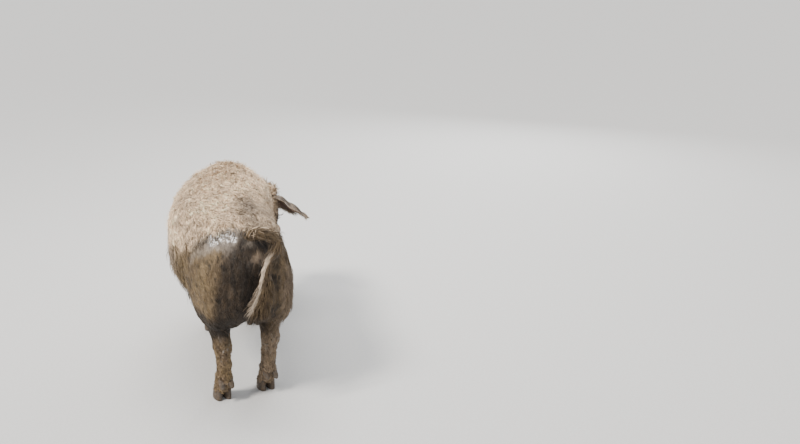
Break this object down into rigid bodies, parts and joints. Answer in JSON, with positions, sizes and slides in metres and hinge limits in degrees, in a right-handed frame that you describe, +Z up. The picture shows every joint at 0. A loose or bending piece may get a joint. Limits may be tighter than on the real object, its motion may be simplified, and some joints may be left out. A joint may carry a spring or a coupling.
{
  "type": "pig",
  "caption": "Life-size standing sow with a dense woolly coat, lop ears, cloven feet and a hanging tail, head low and turned to one side",
  "frame": {"origin": "on the floor, below the middle of the bounding box", "axes": "+X runs forward along the body from rump to head, +Y to the left, +Z up; the hips point a little left of +X and the head to the right of it"},
  "size_m": [1.4396, 0.6522, 0.7769],
  "materials": {
    "coat": "dense curly beige wool, dusty above and caked with wet mud below",
    "mud": "short hair plastered with wet brown mud",
    "skin": "bristly grey skin with dust and mud",
    "ear": "thin dark skin with short pale hair at the rim",
    "eye": "glossy dark brown",
    "claw": "dark horn, muddy"
  },
  "bodies": {
    "root": {"leg_hind_left": "mud", "claw_hind_left_inner": "claw", "dewclaw_hind_left_inner": "claw", "claw_hind_left_outer": "claw", "dewclaw_hind_left_outer": "claw", "leg_hind_right": "mud", "claw_hind_right_inner": "claw", "dewclaw_hind_right_inner": "claw", "claw_hind_right_outer": "claw", "dewclaw_hind_right_outer": "claw", "leg_fore_left": "mud", "claw_fore_left_inner": "claw", "dewclaw_fore_left_inner": "claw", "claw_fore_left_outer": "claw", "dewclaw_fore_left_outer": "claw", "leg_fore_right": "mud", "claw_fore_right_inner": "claw", "dewclaw_fore_right_inner": "claw", "claw_fore_right_outer": "claw", "dewclaw_fore_right_outer": "claw", "eye_left": "eye", "ear_left": "ear", "eye_right": "eye", "ear_right": "ear", "head": "skin", "neck": "coat", "shoulders": "coat", "barrel": "coat", "hindquarters": "coat", "tail": "mud"}
  },
  "joints": []
}
